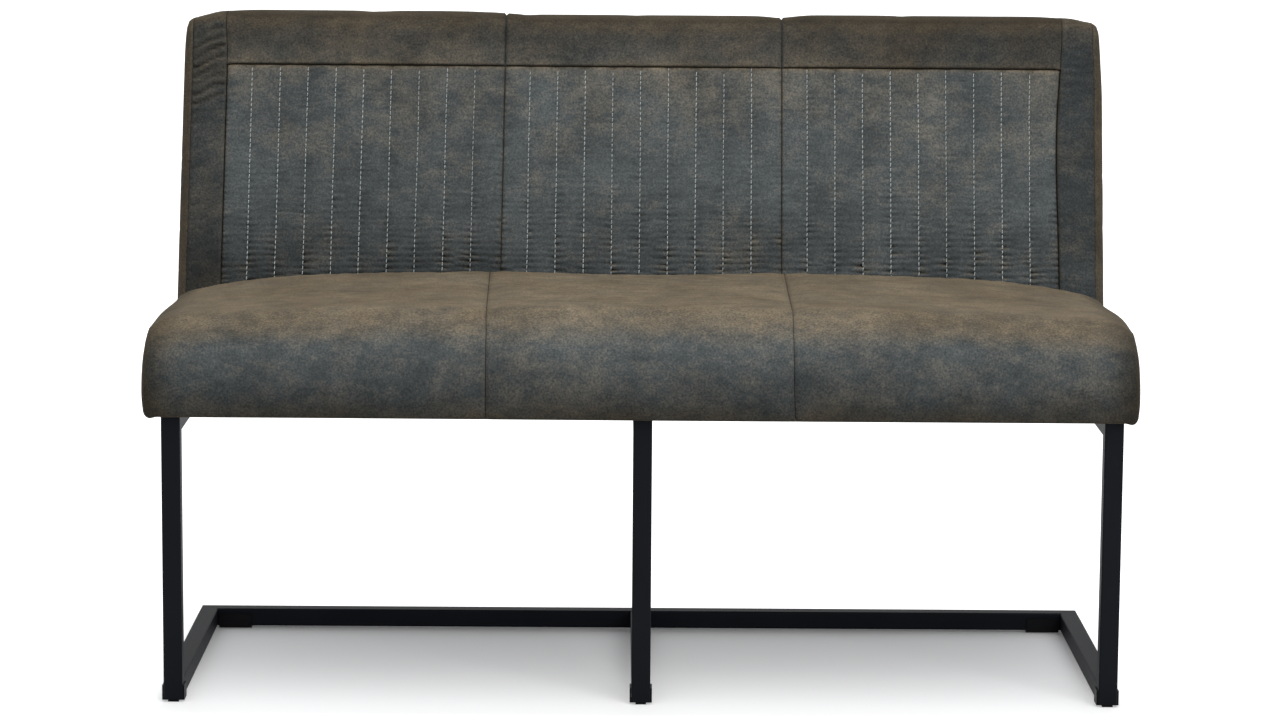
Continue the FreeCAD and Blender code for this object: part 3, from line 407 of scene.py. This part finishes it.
def caseLines():
    h = case["slitHalf"]
    inner, outer = backPlace["panelSeams"][2:]
    band, end = backPlace["bandSeam"], backPlace["halfWidth"]
    half = spaced([0, inner - h], case["step"]) + [inner] + spaced([inner + h, outer - h], case["step"])
    half += [outer] + spaced([outer + h, band - h], case["bandStep"]) + [band]
    half += spaced([band + h, end], case["sideStep"])
    along = [-x for x in reversed(half)] + half[1:]
    low, high = backPlace["headingSeam"], backPlace["rearSeam"]
    up = spaced([0, low - h], case["rowStep"]) + [low] + spaced([low + h, high - h], case["rowStep"])
    up += [high] + spaced([high + h, backPlace["height"]], case["rowStep"])
    return along, spaced([0, 1], case["depthStep"]), up


def drawIn(x):
    # how far the ends of the back pull in from its straight outline
    inner, outer, end = backPlace["panelSeams"][3], backPlace["bandSeam"], backPlace["halfWidth"]
    band = case["bandDraw"] * min(1, max(0, (abs(x) - inner) / (outer - inner))) ** 2
    out = min(1, max(0, (abs(x) - outer) / (end - outer)))
    return band + case["sideDraw"] * (1 - math.sqrt(1 - out * out))


def topFall(x):
    # the top edge dips a little at each seam and falls away to the ends
    end = backPlace["halfWidth"]
    fall = case["endFallLeft"] if x < 0 else case["endFallRight"]
    fall *= smooth(end - case["fallReach"], end, abs(x)) ** 1.5
    left, middle, right = (case["rise" + side] for side in sides)
    fall -= middle + (left - middle) * smooth(-150, -260, x) + (right - middle) * smooth(150, 260, x)
    for seam, dip in zip(backPlace["panelSeams"], case["seamDips"]):
        fall += dip * math.exp(-((x - seam) / 20) ** 2)
    return fall


def bandWrinkle(x, v):
    # gathers of the end bands, strongest on the left near the top
    inner, outer = backPlace["panelSeams"][3], backPlace["bandSeam"]
    band = smooth(inner, inner + 4, abs(x)) * smooth(outer, outer - 4, abs(x))
    if band <= 0:
        return 0
    high = smooth(290, 400, v) * smooth(505, 470, v) if x < 0 else 0.22 * smooth(330, 480, v)
    slant = v + (abs(x) - inner) * (0.32 if x < 0 else -0.2) + 7 * ripple(v / 45, x / 35, 3)
    fold = math.sin(slant / 2.1) * (0.55 + 0.9 * ripple(v / 22, x / 45, 17))
    gather = 3.0 * (fold + 0.5 * ripple(slant / 5, x / 60, 11)) * (0.1 + 0.9 * high)
    tick = 1.5 * math.cos(math.pi * v / case["rowStep"]) * math.exp(-(outer - abs(x)) / 6)
    return (gather + tick * (1 + ripple(v / 30, x / 50, 29))) * band


def casePoint(x, t, v, inset):
    # t runs from the front face (0) to the rear face (1)
    height = backPlace["height"] - inset
    depth = backPlace["topDepth"] + backPlace["taper"] * (1 - v / backPlace["height"]) - 2 * inset
    up = v * height / backPlace["height"]
    fromFront, fromRear, fromTop = t * depth, (1 - t) * depth, height - up
    if t < 0.5:
        w, k = roundCorner(fromFront, fromTop, case["frontRound"])
    else:
        w, k = roundCorner(fromRear, fromTop, case["rearRound"])
        w = depth - w
    draw = drawIn(x)
    w = inset + draw + (depth - 2 * draw) * w / depth
    up = (height - k) * (height - draw) / height
    up -= topFall(x) * smooth(height - 95, height, up)
    corner = case["cornerLeft"] if x < 0 else case["cornerRight"]
    top = height - topFall(x)
    over = min(1, max(0, (up - top + corner) / corner))
    seam, end = backPlace["panelSeams"][3], backPlace["halfWidth"]
    bend = case["bendLeft"] * math.exp(-((x + seam) / 30) ** 2) * smooth(430, 505, v) if x < 0 else 0
    out = bend - corner * (1 - math.sqrt(1 - over * over)) * smooth(end - 90, end, abs(x))
    out -= inset * smooth(end - 20, end, abs(x))
    out -= case["leanRight"] * smooth(400, 490, v) * smooth(end - 90, end, x)
    return x + out * math.copysign(1, x), w, up


def caseShade(x, v, onRear):
    # how brown and how dark the cover is: headings darker, and darker towards the right; painted are a
    # sheen highlight along the heading's seam, brown sheen and shade over the top, light low on the
    # heading, shade on the bands and in their folds, and brown sheen and shade on the side panels
    if onRear:
        return 0.3, 0.85
    low = backPlace["headingSeam"]
    inner, outer = backPlace["panelSeams"][3], backPlace["bandSeam"]
    band, edge = smooth(inner - 1, inner + 2, abs(x)), smooth(outer - 1, outer + 2, abs(x))
    # painted: a sheen highlight along the heading's seam and a brown sheen over the top
    paintedSeamHighlight = math.exp(-((v - low - 5) / 5) ** 2)
    warmAndPaintedSheen = 0.36 + 0.3 * smooth(465, 500, v) + 0.15 * paintedSeamHighlight
    toneAndPaintedShading = (0.56 - 0.14 * smooth(100, 400, x)) * (1 + 0.15 * paintedSeamHighlight)
    # painted light low on the heading, painted shade towards and over the top
    toneAndPaintedShading *= (1.42 - 0.6 * smooth(432, 486, v)) * (1 - 0.3 * smooth(492, 505, v))
    # painted shade on the bands: the left one darker towards its top and foot, both darker in their folds
    if x < 0:
        bandPaintedShade = 0.62 - 0.18 * smooth(300, 430, v) - 0.3 * smooth(260, 110, v)
    else:
        bandPaintedShade = 0.6 - 0.06 * smooth(300, 430, v)
    bandPaintedShade *= max(0.4, 1 + 0.22 * bandWrinkle(x, v))
    bandWarm = 0.2 if x < 0 else 0.04 + 0.4 * smooth(450, 490, v)
    warmAndPaintedSheen += (bandWarm - warmAndPaintedSheen) * band
    toneAndPaintedShading += (bandPaintedShade - toneAndPaintedShading) * band
    # the outer side panels get a painted brown sheen and painted shade
    return warmAndPaintedSheen + (0.7 - warmAndPaintedSheen) * edge, toneAndPaintedShading + (0.55 - toneAndPaintedShading) * edge


def caseMesh():
    bm = gridBox(caseLines())
    notes = {"held": [], "seam": [], "warmAndPaintedSheen": [], "toneAndPaintedShading": []}
    low, (inner, outer) = backPlace["headingSeam"], backPlace["panelSeams"][2:]
    level = math.tan(backPlace["lean"])
    for index, vert in enumerate(bm.verts):
        x, t, v = vert.co
        onFront, onRear, under = t < 0.001, t > 0.999, v < 0.001
        inWindow = onFront and abs(x) < outer - 0.5 and v < low - 0.5
        onSeam = min(abs(abs(x) - s) for s in (inner, outer, backPlace["bandSeam"])) < 0.01
        onSeam = onSeam and (not onFront or v > low - 0.01 or abs(x) > outer - 0.01)
        onSeam = onSeam or (onFront and abs(v - low) < 0.01 and abs(x) < outer + 0.01)
        onSeam = onSeam or (onRear and abs(v - backPlace["rearSeam"]) < 0.01 and abs(x) < outer + 0.01)
        inset = case["inset"] if not onSeam else case["inset"] - 0.4
        px, pw, pv = casePoint(x, t, v, inset)
        if onFront:
            pw -= bandWrinkle(x, v)
        pw += case["window"] if inWindow else 0
        pv += pw * level * (1 - min(1, v / 60))
        vert.co = onBack(px, pw, pv)
        overLining = case["liningEdge"] < t < 1 - case["liningEdge"] and abs(x) < backPlace["bandSeam"]
        if under and overLining:
            vert.co.z += case["lining"] * mm
        if inWindow or onSeam or under:
            notes["held"].append(index)
        if onSeam and not under and not inWindow:
            notes["seam"].append(index)
        warmAndPaintedSheen, toneAndPaintedShading = caseShade(x, v, onRear)
        notes["warmAndPaintedSheen"].append(warmAndPaintedSheen)
        notes["toneAndPaintedShading"].append(toneAndPaintedShading)
    return bm, notes


# quilted panels: ten stuffed channels each, drawn in along nine rows of stitching
quilt = {
    "centres": {"Left": -392, "Middle": 0, "Right": 392}, "half": 195.9, "foot": 4, "rows": 2.0,
    "channels": 10, "front": 1.9, "valley": 1.9, "roll": 1.6, "thickness": 9.0,
    "fromRow": (0, 1.3, 3.4, 6.8, 10.8, 15.2),
    "pucker": 1.5, "puckerPitch": 8.6, "wander": 0.7, "aside": -3.6,
    "paintedLightAbove": {"Left": 0.12, "Middle": 0.2, "Right": 0.2},
    "paintedShadeBelow": {"Left": 0.46, "Middle": 0.17, "Right": 0.17},
    "mostSwell": 2.4, "paintedSheenTurn": (0.35, 0.82),
}
linesPerPanel = quilt["channels"] + 1  # lines are counted through from the left panel to the right one


def stitchShift(line, v):
    # rows are sewn a little aside and wander; the panel's own two edges stay
    if line % linesPerPanel in (0, quilt["channels"]):
        return 0
    return quilt["aside"] + quilt["wander"] * ripple(v / 130, line * 4.3, 2)


def quiltLines():
    pitch = 2 * quilt["half"] / quilt["channels"]
    near = quilt["fromRow"]
    along = []
    for channel in range(quilt["channels"]):
        start = channel * pitch - quilt["half"]
        along += [start + d for d in near] + [start + pitch / 2]
        along += [start + pitch - d for d in reversed(near[1:])]
    along.append(quilt["half"])
    top = backPlace["headingSeam"] - 0.3
    up = [quilt["foot"]] + spaced([quilt["foot"] + 1.2, top - 1.2], quilt["rows"]) + [top]
    return along, [0, 0.5, 1], up


def pucker(x, v, line, side):
    # small gathers across each row of stitching, stronger towards the foot of the back
    pitch = 2 * quilt["half"] / quilt["channels"]
    s = abs(x + quilt["half"] - (line % linesPerPanel) * pitch)
    strength = (0.2 + 0.8 * smooth(330, 110, v)) * (1 + 0.9 * ripple(v / 70, line * 1.9, side))
    phase = v * 2 * math.pi / quilt["puckerPitch"] + 3 * ripple(v / 24, line * 3.7, side * 1.3 + s / 60)
    wave = math.sin(phase) - 0.4 * math.sin(phase) ** 2
    wave *= 0.7 + 0.9 * ripple(v / 15, line * 2.1, side * 3.3)
    fade = math.exp(-s / 7.5) + 0.3 * smooth(240, 110, v)
    return quilt["pucker"] * strength * wave * fade * min(1, s / 1.3)


def quiltMesh(side):
    bm = gridBox(quiltLines())
    centre = quilt["centres"][side]
    bank = linesPerPanel * sides.index(side)
    pitch = 2 * quilt["half"] / quilt["channels"]
    bottom, top = quilt["foot"], backPlace["headingSeam"] - 0.3
    notes = {"held": [], "seam": [], "warmAndPaintedSheen": [], "toneAndPaintedShading": []}
    for index, vert in enumerate(bm.verts):
        x, t, v = vert.co
        line = round((x + quilt["half"]) / pitch)
        s = x + quilt["half"] - line * pitch
        inRow = abs(s) < 0.01
        fromEdge = min(quilt["half"] - abs(x), top - v, v - bottom)
        roll = quilt["roll"] * (1 - min(1, fromEdge / quilt["roll"])) ** 2
        share = min(1, abs(s) / (pitch / 2))
        w = quilt["front"] + quilt["valley"] * (1 - math.sin(share * math.pi / 2)) + roll
        if t < 0.001:
            w -= pucker(x, v, line + bank, 1 if s > 0 else -1) * (1 - min(1, roll / 2))
        else:
            w += (quilt["thickness"] - w) * t
        channel = min(quilt["channels"] - 1, int((x + quilt["half"]) / pitch))
        part = (x + quilt["half"]) / pitch - channel
        shift = stitchShift(channel + bank, v) * (1 - part) + stitchShift(channel + 1 + bank, v) * part
        vert.co = onBack(centre + x + shift, w, v)
        if inRow or t > 0.001 or fromEdge < 0.01:
            notes["held"].append(index)
        # a brown sheen highlight is painted along the heading's seam, and the panel is browner higher up;
        # painted light higher up and painted shade lower down, in the pucker troughs, along the stitch rows
        # and on the rolled edges
        paintedSheenEdge = math.exp(-(top - v) / 5)
        notes["warmAndPaintedSheen"].append(0.22 * smooth(260, 425, v) + 0.4 * paintedSheenEdge - 0.03)
        toneAndPaintedShading = 0.97 + quilt["paintedLightAbove"][side] * smooth(170, 260, v)
        toneAndPaintedShading -= quilt["paintedShadeBelow"][side] * smooth(250, 100, v)
        # painted light on the pucker ridges, painted shade in their troughs and along the stitch rows
        toneAndPaintedShading *= 1 + 0.38 * pucker(x, v, line + bank, 1 if s > 0 else -1) - 0.1 * math.exp(-abs(s) / 3)
        notes["toneAndPaintedShading"].append(toneAndPaintedShading * (0.3 + 0.7 * smooth(0.2, 1.1, fromEdge)))
    return bm, notes


# swell: every padded piece is filled at once, held along its seams
swell = {"pressure": 5.0, "frames": 14, "quality": 5, "growth": -0.004}


def inflate(jobs):
    for piece, notes, settings in jobs:
        group = piece.vertex_groups.new(name="held")
        group.add(notes["held"], 1.0, "REPLACE")
        cloth = piece.modifiers.new("cloth", "CLOTH")
        fabric = cloth.settings
        fabric.quality = swell["quality"]
        fabric.use_pressure = True
        fabric.uniform_pressure_force = swell["pressure"]
        fabric.shrink_min = swell["growth"]
        fabric.vertex_group_mass = "held"
        fabric.effector_weights.gravity = 0
        cloth.collision_settings.use_collision = False
    for step in range(1, swell["frames"] + 1):
        scene.frame_set(step)
    graph = bpy.context.evaluated_depsgraph_get()
    for piece, notes, settings in jobs:
        cap = settings["mostSwell"] * mm
        after = [v.co.copy() for v in piece.evaluated_get(graph).data.vertices]
        moves = [new - v.co for new, v in zip(after, piece.data.vertices)]
        for vert, move in zip(piece.data.vertices, moves):
            if move.length > 1e-7:
                vert.co = vert.co + move * (cap * math.tanh(move.length / cap) / move.length)
        piece.modifiers.remove(piece.modifiers["cloth"])
        piece.vertex_groups.clear()
        furthest = max(m.length for m in moves) / mm
        print("swell:", piece.name, "moved up to", round(furthest, 1), "mm before the cap")
    scene.frame_set(1)


seatBm, seatNotes = seatMesh()
seatCushion = asPiece(
    "seatCushion", seatBm, microfibre, "upholstery",
    "seat_cover_left", "seat_cover_middle", "seat_cover_right", "seat_foam", "spring_felt")
caseBm, caseNotes = caseMesh()
caseNodes = [f"{part}_{side.lower()}" for part in ("heading_panel", "rear_panel") for side in sides]
caseNodes += [f"{part}_{side}" for part in ("end_band", "side_panel") for side in ("left", "right")]
backCase = asPiece(
    "backCase", caseBm, microfibre, "upholstery", *caseNodes,
    "back_front_foam", "back_top_roll", "back_rear_foam")
jobs = [(seatCushion, seatNotes, seat), (backCase, caseNotes, case)]
for side in quilt["centres"]:
    quiltBm, quiltNotes = quiltMesh(side)
    panel = asPiece(
        "quiltedPanel" + side, quiltBm, microfibre, "upholstery", "quilted_panel_" + side.lower())
    jobs.append((panel, quiltNotes, quilt))
print("upholstery:", sum(len(job[0].data.polygons) for job in jobs), "faces")
inflate(jobs)


# the top roll is pulled smooth: small buckles of the swelling would nick its outline
even = {"above": 800, "within": 585, "rounds": 4}


def evenTop(piece, held):
    bm = bmesh.new()
    bm.from_mesh(piece.data)
    above, within = even["above"] * mm, even["within"] * mm
    free = [v for v in bm.verts if v.index not in held and v.co.z > above and abs(v.co.x) < within]
    for step in range(even["rounds"]):
        bmesh.ops.smooth_vert(
            bm, verts=free, factor=0.5, use_axis_x=True, use_axis_y=True, use_axis_z=True)
    bm.to_mesh(piece.data)
    bm.free()


evenTop(backCase, set(caseNotes["held"]))


# finish the covers: sink the seams, then paint a brown sheen and shade into the colour by which way each
# face turns
def finishCover(piece, notes, settings):
    mesh = piece.data
    normals = [v.normal.copy() for v in mesh.vertices]
    for index in notes["seam"]:
        mesh.vertices[index].co -= normals[index] * settings["slitDepth"] * mm
    warmAndPaintedSheen, toneAndPaintedShading = [], []
    for normal, base, dark in zip(normals, notes["warmAndPaintedSheen"], notes["toneAndPaintedShading"]):
        # painted brown sheen on faces turned up, aside or down; painted shade on the tops and sides
        up = smooth(*settings["paintedSheenTurn"], normal.z)
        side = 0.55 * smooth(0.4, 0.95, abs(normal.x))
        under = 0.4 * smooth(0.0, -0.5, normal.z)
        warmAndPaintedSheen.append(base + (0.82 - base) * max(up, side, under))
        toneAndPaintedShading.append(dark * (1 - 0.2 * smooth(0.4, 0.95, abs(normal.x)) - 0.2 * up))
    # painted shade in the seam slits; on the seat, less of it where a slit faces up
    for index in notes["seam"]:
        warmAndPaintedSheen[index] = 0.1
        toneAndPaintedShading[index] = 0.25 if piece is not seatCushion else 0.4 + 0.2 * smooth(0.35, 0.82, normals[index].z)
    paint(piece, "warmAndPaintedSheen", warmAndPaintedSheen)
    paint(piece, "toneAndPaintedShading", toneAndPaintedShading)
    mesh.update()


for piece, notes, settings in jobs:
    finishCover(piece, notes, settings)
# what is noted on the covers is a painted brown sheen and painted shade and light
print("covers: seams sunk and nap noted")

# contrast stitching: one small bead for each stitch, nine rows on each panel
stitch = {
    "length": 6.1, "pitch": 7.2, "width": 1.5, "height": 1.2, "slant": 5,
    "start": 3, "startSpread": 9, "end": 12, "boldness": 0.35,
}


def stitchRows(side):
    panel = bmesh.new()
    dice = random.Random(side)
    bank = linesPerPanel * sides.index(side)
    pitch = 2 * quilt["half"] / quilt["channels"]
    level = quilt["front"] + quilt["valley"] - 0.3
    lean = Matrix.Rotation(-backPlace["lean"], 4, "X")
    for line in range(1, quilt["channels"]):
        bm = bmesh.new()  # a row at a time, because the operator slows down as its mesh grows
        v = backPlace["headingSeam"] - stitch["start"] - dice.uniform(0, stitch["startSpread"])
        bold = 1 + stitch["boldness"] * ripple((line + bank) * 0.83, 7.3)
        while v > stitch["end"]:
            x = quilt["centres"][side] + line * pitch - quilt["half"] + stitchShift(line + bank, v)
            spot = Matrix.Translation(onBack(x, level, v))
            tilt = Matrix.Rotation(math.radians(stitch["slant"] + dice.uniform(-4, 4)), 4, "Y")
            long = stitch["length"] * dice.uniform(0.9, 1.08)
            half = [size / 2 * mm for size in (bold * stitch["width"], stitch["height"], long)]
            size = Matrix.Diagonal((*half, 1))
            bmesh.ops.create_uvsphere(
                bm, u_segments=6, v_segments=4, radius=1, matrix=spot @ lean @ tilt @ size)
            v -= stitch["pitch"]
        row = bpy.data.meshes.new("row")
        bm.to_mesh(row)
        bm.free()
        panel.from_mesh(row)
        bpy.data.meshes.remove(row)
    return asPiece("stitching" + side, panel, thread, "upholstery")


for side in quilt["centres"]:
    stitchRows(side)
print("stitching:", len(sides) * (quilt["channels"] - 1), "rows")


# linings: thin black cloth stretched under the seat and under the back
lining = {"step": 14, "sag": 1.6, "thickness": 0.5, "armPitch": 615.5}


def liningSheet(name, nodeName):
    low, high = (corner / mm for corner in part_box(nodeName))
    bm = bmesh.new()
    wide, deep = high.x - low.x, high.y - low.y
    counts = [max(2, round(size / lining["step"])) for size in (wide, deep)]
    bmesh.ops.create_grid(bm, x_segments=counts[0], y_segments=counts[1], size=0.5)
    for vert in bm.verts:
        x, y = low.x + (vert.co.x + 0.5) * wide, low.y + (vert.co.y + 0.5) * deep
        loose = math.sin(math.pi * (vert.co.y + 0.5)) * abs(math.sin(math.pi * x / lining["armPitch"]))
        z = (low.z + high.z) / 2 - lining["sag"] * loose * (1 + 0.5 * ripple(x / 60, y / 60))
        vert.co = Vector((x, y, z)) * mm
    sheet = asPiece(name, bm, slotFinish["lining"], "lining", nodeName)
    wall = sheet.modifiers.new("wall", "SOLIDIFY")
    wall.thickness = lining["thickness"] * mm
    wall.offset = 0


liningSheet("seatLining", "seat_dust_cover")
liningSheet("backLining", "back_lining")
print("linings: under the seat and the back")


# stage: pale floor, soft light and the camera at the photograph's angle
view = {
    "place": (-0.034, -5.279, 1.200), "pitch": 8.41, "yaw": 0.34, "roll": 0.42,
    "focalPixels": 3896, "imageWidth": 1280, "sensor": 36,
}
camera = bpy.data.objects.new("camera", bpy.data.cameras.new("camera"))
scene.collection.objects.link(camera)
camera.data.sensor_width = view["sensor"]
camera.data.lens = view["focalPixels"] / view["imageWidth"] * view["sensor"]
aim = Matrix.Rotation(math.radians(-view["yaw"]), 4, "Z")
aim = aim @ Matrix.Rotation(math.radians(90 - view["pitch"]), 4, "X")
aim = aim @ Matrix.Rotation(math.radians(view["roll"]), 4, "Z")
camera.matrix_world = Matrix.Translation(view["place"]) @ aim
scene.camera = camera
scene.view_settings.view_transform = "Standard"


def seenByEye(tree):
    # 1 for what the camera sees, straight or mirrored or through glass, else 0
    rays = addNode(tree, "LightPath", {}).outputs
    direct = addNode(tree, "Math", {
        0: rays["Is Camera Ray"], 1: rays["Is Glossy Ray"]}, operation="MAXIMUM")
    through = addNode(tree, "Math", {
        0: direct.outputs[0], 1: rays["Is Transmission Ray"]}, operation="MAXIMUM")
    return through.outputs[0]


# the floor glows white round the bench; between its feet the glow is held low and ramps up towards the
# front, so the lamps' shadow there is shaped by a painted shadow; metres from the middle
stage = {
    "sides": (0.60, 0.67), "rear": (0.21, 0.33), "front": (-0.24, -0.44),
    "shade": (0.16, -0.27), "shadeGlow": (0.07, 0.40),
}
floorBm = bmesh.new()
bmesh.ops.create_grid(floorBm, x_segments=1, y_segments=1, size=20)
floorMesh = bpy.data.meshes.new("floor")
floorBm.to_mesh(floorMesh)
floorBm.free()
floor = bpy.data.objects.new("floor", floorMesh)
scene.collection.objects.link(floor)
paleFloor, tree, shader, place = startMaterial("paleFloor", Roughness=0.7, Specular_IOR_Level=0.1)
seen = seenByEye(tree)
colour = addNode(tree, "Mix", {
    "Factor": seen, "A": linear("#7a7a78"), "B": linear("#dcdcdc")}, data_type="RGBA")
tree.links.new(colour.outputs["Result"], shader.inputs["Base Color"])
axes = addNode(tree, "SeparateXYZ", {"Vector": place}).outputs
aside = addNode(tree, "Math", {0: axes["X"]}, operation="ABSOLUTE").outputs[0]
glow = addNode(tree, "MapRange", {
    "Value": axes["Y"], "From Min": stage["shade"][0], "From Max": stage["shade"][1],
    "To Min": stage["shadeGlow"][0], "To Max": stage["shadeGlow"][1]})
for across, side in ((aside, "sides"), (axes["Y"], "rear"), (axes["Y"], "front")):
    start, full = stage[side]
    rim = addNode(tree, "MapRange", {
        "Value": across, "From Min": start, "From Max": full}, interpolation_type="SMOOTHSTEP")
    glow = addNode(tree, "Math", {0: glow.outputs[0], 1: rim.outputs[0]}, operation="MAXIMUM")
strength = addNode(tree, "Math", {0: glow.outputs[0], 1: seen}, operation="MULTIPLY")
lift = addNode(tree, "Emission", {"Color": (1, 1, 1, 1), "Strength": strength.outputs[0]})
both = addNode(tree, "AddShader", {0: shader.outputs[0], 1: lift.outputs[0]})
tree.links.new(both.outputs[0], tree.nodes["Material Output"].inputs["Surface"])
floorMesh.materials.append(paleFloor)

# the room's light comes from front, rear and above, and less from the sides; the eye sees white
room = {"tint": "#f4f6f8", "sideways": (0.3, 0.95), "strength": (0.85, 0.22)}
world = bpy.data.worlds.new("studio")
scene.world = world
world.use_nodes = True
tree = world.node_tree
ambient = tree.nodes["Background"]
ambient.inputs["Color"].default_value = linear(room["tint"])
compass = addNode(tree, "SeparateXYZ", {"Vector": addNode(tree, "TexCoord", {}).outputs["Generated"]})
aside = addNode(tree, "Math", {0: compass.outputs["X"]}, operation="ABSOLUTE")
level = addNode(tree, "MapRange", {
    "Value": aside.outputs[0], "From Min": room["sideways"][0], "From Max": room["sideways"][1],
    "To Min": room["strength"][0], "To Max": room["strength"][1]}, interpolation_type="SMOOTHSTEP")
tree.links.new(level.outputs[0], ambient.inputs["Strength"])
white = addNode(tree, "Background", {"Color": (1, 1, 1, 1), "Strength": 1.0})
mixed = addNode(tree, "MixShader", {0: seenByEye(tree), 1: ambient.outputs[0], 2: white.outputs[0]})
tree.links.new(mixed.outputs[0], tree.nodes["World Output"].inputs["Surface"])

lamps = {
    "overhead": {"place": (0.2, -1.0, 3.4), "aim": (0, 0, 0.45), "size": 2.6, "watts": 45},
    "front": {"place": (2.2, -3.9, 2.3), "aim": (0, 0, 0.6), "size": 2.2, "watts": 70},
}
for name, lamp in lamps.items():
    light = bpy.data.lights.new(name, "AREA")
    light.size = lamp["size"]
    light.energy = lamp["watts"]
    lightObject = bpy.data.objects.new(name, light)
    scene.collection.objects.link(lightObject)
    lightObject.location = lamp["place"]
    beam = Vector(lamp["aim"]) - Vector(lamp["place"])
    lightObject.rotation_euler = beam.to_track_quat("-Z", "Y").to_euler()
print("stage: camera, floor and", len(lamps), "lamps")
